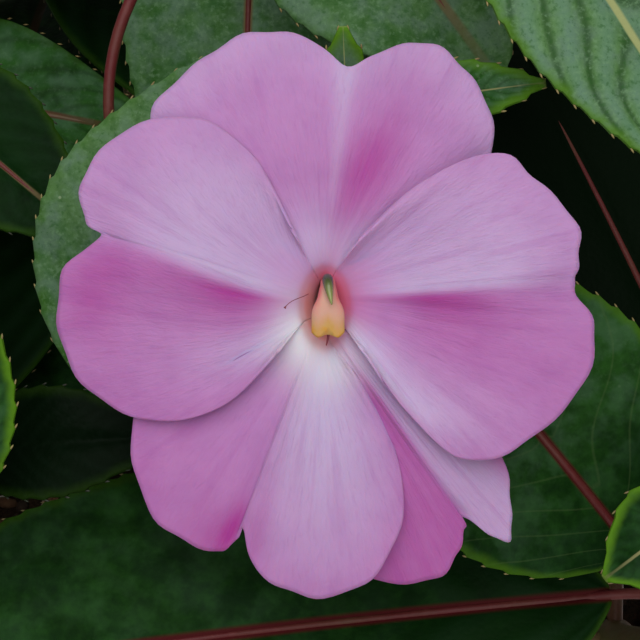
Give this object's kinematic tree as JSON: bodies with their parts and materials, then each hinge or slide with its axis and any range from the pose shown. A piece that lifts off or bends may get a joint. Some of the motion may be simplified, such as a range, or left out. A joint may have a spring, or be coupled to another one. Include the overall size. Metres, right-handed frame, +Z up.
{
  "type": "potted new guinea impatiens",
  "caption": "Flowering New Guinea impatiens with toothed dark leaves and flat lilac-pink five-petalled blooms, rooted in soil in a plain round clay pot.",
  "frame": {"origin": "centre of the pot's foot, on the surface that it stands on", "axes": "+Z up, the main bloom faces -Y and up"},
  "size_m": [0.3254, 0.3529, 0.2977],
  "materials": {
    "clay": "unglazed, dry",
    "peat": "moist crumbly potting soil",
    "foliage": "dark green, soft gloss",
    "petal": "lilac-pink, velvety",
    "anther": "peach to yellow, waxy",
    "calyx": "reddish green, satin",
    "bud": "pink, satin"
  },
  "bodies": {
    "root": {"pot": "clay", "soil": "peat", "shoot_front": "foliage", "shoot_right_front": "foliage", "shoot_left_front": "foliage", "shoot_centre": "foliage", "shoot_left": "foliage", "shoot_right": "foliage", "shoot_left_back": "foliage", "shoot_right_back": "foliage", "bloom_1_petals": "petal", "bloom_2_petals": "petal", "bloom_3_petals": "petal", "bloom_4_petals": "petal", "bloom_5_petals": "petal", "bloom_6_petals": "petal", "bloom_1_column": "anther", "bloom_2_column": "anther", "bloom_3_column": "anther", "bloom_4_column": "anther", "bloom_5_column": "anther", "bloom_6_column": "anther", "bloom_1_calyx": "calyx", "bloom_2_calyx": "calyx", "bloom_3_calyx": "calyx", "bloom_4_calyx": "calyx", "bloom_5_calyx": "calyx", "bloom_6_calyx": "calyx", "bud_1": "bud", "bud_2": "bud", "bud_3": "bud", "bud_4": "bud"}
  },
  "joints": []
}
